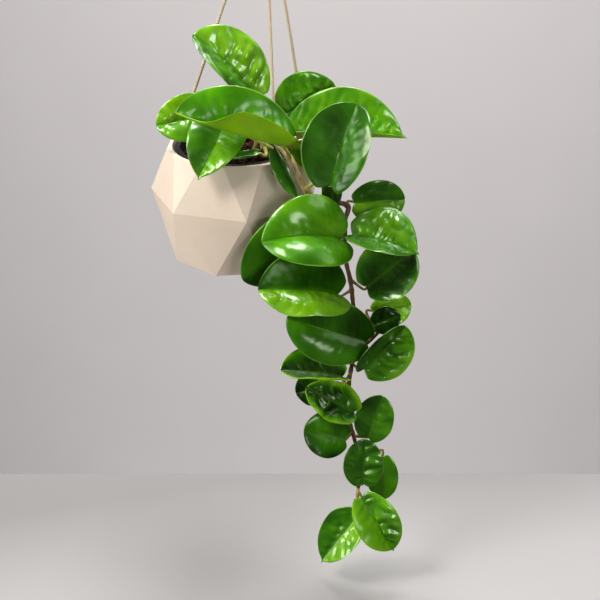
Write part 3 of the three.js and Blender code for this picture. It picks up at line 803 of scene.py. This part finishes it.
def welded(name, points, faces, sides, facts, materials, node):
    """The leaf's mesh with its rim, base and tip closed up."""
    mesh = bpy.data.meshes.new(name)
    mesh.from_pydata([tuple(p * MM) for p in points], [], faces)
    mesh.polygons.foreach_set("material_index", sides)
    add_values(mesh, facts)
    shape = bmesh.new()
    shape.from_mesh(mesh)
    bmesh.ops.remove_doubles(shape, verts=shape.verts, dist=WELD)
    shape.to_mesh(mesh)
    shape.free()
    for material in materials:
        mesh.materials.append(material)
    mesh.shade_smooth()
    return place_object(name, mesh, [node])


def leaf_upper():
    made = Shader("leaf_upper", Coat_Roughness=0.19, Specular_Tint=(0.62, 1.0, 0.35, 1))
    gloss = made.attribute("gloss")
    made.link("Coat Weight", gloss)
    made.link("Specular IOR Level", made.math("MULTIPLY", gloss, 0.8))
    tone, vein, across = made.attribute("tone"), made.attribute("vein"), made.attribute("across")
    mottle = made.noise(55, 4, 0.6)
    fine = made.noise(420, 3, 0.6)
    # Lightness to green; the darkest stops also serve halves painted in shade.
    body = made.ramp(tone, (0.0, rgb(14, 40, 1)), (0.14, rgb(24, 66, 1)), (0.32, rgb(40, 96, 2)),
                     (0.6, rgb(74, 144, 4)), (1.0, rgb(128, 190, 12)))
    patches = made.ramp(mottle, (0.36, 0.0), (0.66, 0.52))
    shade = made.mix(patches, body, made.mix(1.0, body, (0.5, 0.6, 0.45), "MULTIPLY"))
    veined = made.mix(made.math("MULTIPLY", vein, 0.18), shade, rgb(120, 176, 40))
    # A thin paler line along the margin: partly the leaf's pale edge, partly a painted highlight of the rim
    # catching light.
    rim = made.ramp(across, (0.965, 0.0), (0.99, 1.0))
    made.link("Base Color", made.mix(made.math("MULTIPLY", rim, 0.5), veined, rgb(150, 190, 80)))
    made.link("Roughness", made.ramp(mottle, (0.3, 0.24), (0.7, 0.36)))
    pores = made.noise(170, 3, 0.6)
    made.bump(made.mix(0.35, pores, fine), 0.32, 0.0005)
    return made.material


def leaf_lower():
    made = Shader("leaf_lower", Specular_IOR_Level=0.15)
    tone, vein = made.attribute("tone"), made.attribute("vein")
    mottle = made.noise(60, 4, 0.6)
    body = made.ramp(tone, (0.0, rgb(46, 94, 2)), (0.5, rgb(98, 158, 2)), (1.0, rgb(156, 208, 12)))
    darker = made.mix(1.0, body, (0.7, 0.75, 0.6), "MULTIPLY")
    shade = made.mix(made.math("MULTIPLY", mottle, 0.4), body, darker)
    made.link("Base Color", made.mix(made.math("MULTIPLY", vein, 0.25), shade, rgb(170, 196, 80)))
    made.link("Roughness", made.ramp(mottle, (0.3, 0.45), (0.7, 0.65)))
    made.bump(made.noise(500, 3), 0.15, 0.0004)
    return made.material


def add_leaves():
    materials = [leaf_upper(), leaf_lower()]
    for number, (name, row) in enumerate(LEAVES.items()):
        points, faces, sides, facts = leaf_parts(name, row, 100 + number)
        welded(name + "_blade", points, faces, sides, facts, materials, name)


add_leaves()

# ---------------------------------------------------------------- stems and leaf stalks
STEMS = {
    "stem_vine": [
        (-11, -10, -320), (-11, -10, -300), (-11, -10, -284), (-5, -16, -268), (4, -24, -263),
        (14, -37, -270), (25, -52, -280), (37, -58, -304), (55, -54, -322), (70, -55, -319),
        (77, -57, -322), (74, -60, -335), (74, -60, -352), (76, -60, -378), (80, -59, -396),
        (83, -58, -420), (86, -54, -455), (84, -55, -484), (81, -56, -508), (80, -56, -526),
        (83, -58, -557), (88, -57, -580), (92, -57, -608), (92, -60, -632), (91, -59, -648),
        (90, -58, -661),
    ],
    "stem_left": [(-27, -18, -320), (-27, -18, -302), (-27, -18, -285), (-30, -17, -265), (-34, -15, -250)],
    "stem_back": [(-5, 8, -320), (-5, 8, -288), (-5, 8, -256)],
}
LEFT_STEM_LEAVES = ["leaf_top_drooping"]
BACK_STEM_LEAVES = ["leaf_top_tall", "leaf_top_left", "leaf_top_back", "leaf_top_right"]
# The stem's finishes, as places in its list of materials.
BARK, GREEN, BROWN, TAN = range(4)
PALE_ABOVE = -312  # the vine's thick pale part near the pot
YOUNG_BELOW = -630  # and its green end
TOP_STALK = 1.8  # radius of a leaf stalk around the pot's top, and down the vine
VINE_STALK = 1.25
SIDE_SHOOT = [(85, -54, -470), (97, -50, -470), (109, -46, -460)]


def stalk_path(row):
    base, tip, face = (np.array(row[k], float) for k in (1, 2, 3))
    along = unit(tip - base)
    face = unit(face - along * (face @ along))
    bend = np.array(row[8], float) if len(row) > 8 else base - face * 7 - along * 5
    joint = base - face * 1.6 + along * 1
    return smooth_path([np.array(row[0], float), bend, joint, base + along * 5 - face * 0.4], 7)


def stalk_radius(stalk, thick):
    """A leaf stalk's radius along it, wider at its root, with a swelling before the blade."""
    t = np.linspace(0, 1, len(stalk))
    root = 0.5 * np.exp(-((t / 0.12) ** 2))
    swelling = 0.25 * np.exp(-(((t - 0.85) / 0.1) ** 2))
    return thick + root + swelling - 0.5 * t ** 6


def stem_material(name, low, middle, high):
    made = Shader(name)
    streaks = made.noise(420, 4, 0.6, made.position((1, 1, 0.25)))
    patches = made.noise(45, 3)
    color = made.ramp(streaks, (0.28, low), (0.5, middle), (0.75, high))
    made.link("Base Color", made.mix(made.math("MULTIPLY", patches, 0.5), color, low))
    made.link("Roughness", made.ramp(patches, (0.3, 0.45), (0.7, 0.7)))
    made.bump(streaks, 0.4, 0.0004)
    return made.material


def vine_finishes(points, faces):
    """The finish of each face of the vine's stem, by its height."""
    heights = [points[face[0]][2] for face in faces]
    return [TAN if z > PALE_ABOVE else GREEN if z < YOUNG_BELOW else BARK for z in heights]


def add_stem(name, leaves, materials):
    vine = name == "stem_vine"
    path = smooth_path(STEMS[name], 10)
    length = arc_lengths(path)
    share = length / length[-1]
    if vine:
        thick = 2.5 - 0.8 * share
        thick = thick + 0.7 * np.clip((path[:, 2] - PALE_ABOVE) / 12 + 1, 0, 1)
    else:
        thick = 2.0 - 0.2 * share
    for leaf in leaves:
        near = np.linalg.norm(path - np.array(LEAVES[leaf][0], float), axis=1)
        thick = thick + 0.45 * np.exp(-((near / 3.2) ** 2))
    thick = thick + 0.12 * np.sin(length * 0.7) + 0.08 * np.sin(length * 1.9)
    points, faces = bar(path, thick, 14)
    parts = [(points, faces, vine_finishes(points, faces) if vine else GREEN)]
    if vine:
        shoot = smooth_path(SIDE_SHOOT, 10)
        parts.append((*bar(shoot, np.linspace(1.9, 1.6, len(shoot)), 12), BARK))
    for leaf in leaves:
        stalk = stalk_path(LEAVES[leaf])
        thick, finish = (TOP_STALK, GREEN) if leaf.startswith("leaf_top") else (VINE_STALK, BROWN)
        parts.append((*bar(stalk, stalk_radius(stalk, thick), 10), finish))
    mesh_object(name + "_bark", parts, materials, {}, [name], 60)


def add_stems():
    bark = stem_material("vine_bark", rgb(58, 36, 20), rgb(98, 66, 40), rgb(140, 104, 66))
    tan = stem_material("tan_stem", rgb(146, 108, 62), rgb(222, 192, 134), rgb(250, 234, 188))
    green = stem_material("green_stalk", rgb(134, 136, 40), rgb(190, 188, 84), rgb(232, 226, 146))
    brown = stem_material("brown_stalk", rgb(72, 50, 22), rgb(122, 96, 44), rgb(158, 140, 72))
    elsewhere = LEFT_STEM_LEAVES + BACK_STEM_LEAVES
    vine_leaves = [leaf for leaf in LEAVES if leaf not in elsewhere]
    stems = {"stem_vine": vine_leaves, "stem_left": LEFT_STEM_LEAVES, "stem_back": BACK_STEM_LEAVES}
    for name, leaves in stems.items():
        add_stem(name, leaves, [bark, green, brown, tan])


add_stems()


# ---------------------------------------------------------------- stage and light
FLOOR = -0.737
FLOOR_BACK = 0.13
FLOOR_FRONT = -1.7
FLOOR_SIDE = 1.5
WALL_COLOR = rgb(214, 209, 208)


def add_plane(name, corners, color, far_color):
    """A backdrop, one colour near the viewer, another far back and left: painted fall-off of light."""
    made = Shader(name, Roughness=0.9, Specular_IOR_Level=0.15)
    cloud = made.noise(3.5, 4, 0.5)
    place = made.node("SeparateXYZ", {"Vector": made.position()}).outputs
    # Painted light fall-off: the colour darkens towards the back and the left.
    depth = made.math("SUBTRACT", place["Y"], made.math("MULTIPLY", place["X"], 0.3))
    span = {"Value": depth, "From Min": -0.1, "From Max": FLOOR_BACK}
    painted_light_falloff = made.mix(made.node("MapRange", span).outputs["Result"], color, far_color)
    shaded = made.mix(1.0, painted_light_falloff, (0.93, 0.93, 0.93), "MULTIPLY")
    made.link("Base Color", made.mix(cloud, shaded, painted_light_falloff))
    mesh = bpy.data.meshes.new(name)
    mesh.from_pydata(corners, [], [[0, 1, 2, 3]])
    mesh.materials.append(made.material)
    plane = bpy.data.objects.new(name, mesh)
    bpy.context.scene.collection.objects.link(plane)
    plane.visible_glossy = False


def add_light(name, place, aim, size, power, color=(1, 1, 1), tall=None, mirrored=True):
    """A soft rectangular light in watts, which the glossy surfaces show or don't."""
    data = bpy.data.lights.new(name, "AREA")
    data.energy = power
    data.color = color
    data.shape = "RECTANGLE"
    data.size = size
    data.size_y = tall or size
    light = bpy.data.objects.new(name, data)
    light.location = place
    light.visible_glossy = mirrored
    way = np.array(aim, float) - place
    light.rotation_mode = "QUATERNION"
    light.rotation_quaternion = Vector(way).to_track_quat("-Z", "Y")
    bpy.context.scene.collection.objects.link(light)


# The floor's two colours paint light falling off towards the back and the left; the wall's is even.
add_plane("floor", [(-FLOOR_SIDE, FLOOR_FRONT, FLOOR), (FLOOR_SIDE, FLOOR_FRONT, FLOOR),
                    (FLOOR_SIDE, FLOOR_BACK, FLOOR), (-FLOOR_SIDE, FLOOR_BACK, FLOOR)],
          rgb(174, 171, 170), rgb(138, 135, 134))
add_plane("wall", [(-4, 3, -4), (4, 3, -4), (4, 3, 3), (-4, 3, 3)], WALL_COLOR, WALL_COLOR)


def add_world(color, strength, backdrop):
    """Faint light from all round, and a paler plain backdrop where nothing else stands."""
    world = bpy.data.worlds.new("studio")
    world.use_nodes = True
    tree = world.node_tree
    tree.nodes["Background"].inputs["Color"].default_value = (*color, 1)
    seen = tree.nodes.new("ShaderNodeLightPath").outputs["Is Camera Ray"]
    range_of = tree.nodes.new("ShaderNodeMapRange")
    range_of.inputs["To Min"].default_value = strength
    range_of.inputs["To Max"].default_value = backdrop
    tree.links.new(seen, range_of.inputs["Value"])
    tree.links.new(range_of.outputs["Result"], tree.nodes["Background"].inputs["Strength"])
    bpy.context.scene.world = world


CENTRE = (0.03, -0.06, -0.4)


def aimed(azimuth, rise, distance):
    """A place at a distance from the plant, azimuth 0 behind it and 90 at its right."""
    turn, up = math.radians(azimuth), math.radians(rise)
    way = [math.cos(up) * math.sin(turn), math.cos(up) * math.cos(turn), math.sin(up)]
    return [c + distance * w for c, w in zip(CENTRE, way)]


add_world((1.0, 0.985, 0.98), 0.025, 0.5)
add_light("key", aimed(-120, 50, 1.8), CENTRE, 0.6, 23, (1.0, 0.985, 0.96))
add_light("overhead", aimed(10, 79, 1.7), CENTRE, 0.6, 26)
add_light("left_window", aimed(-100, 15, 1.9), CENTRE, 0.9, 19, tall=1.3)
add_light("front", aimed(154, 16, 2.2), CENTRE, 0.7, 12)
add_light("right_window", aimed(98, 40, 2.0), CENTRE, 1.0, 6, tall=1.2)
add_light("left_bounce", aimed(-118, -22, 1.8), CENTRE, 1.2, 8, mirrored=False)
add_light("right_bounce", aimed(140, -42, 2.0), CENTRE, 1.0, 23, mirrored=False)
add_light("wall_wash", (0.3, 1.1, 1.2), (0.5, 3.0, -0.9), 1.8, 61)
add_light("wall_rise", (0.1, 1.1, -3.6), (0.3, 3.0, -2.2), 1.8, 27)
bpy.context.scene.view_settings.view_transform = "Standard"
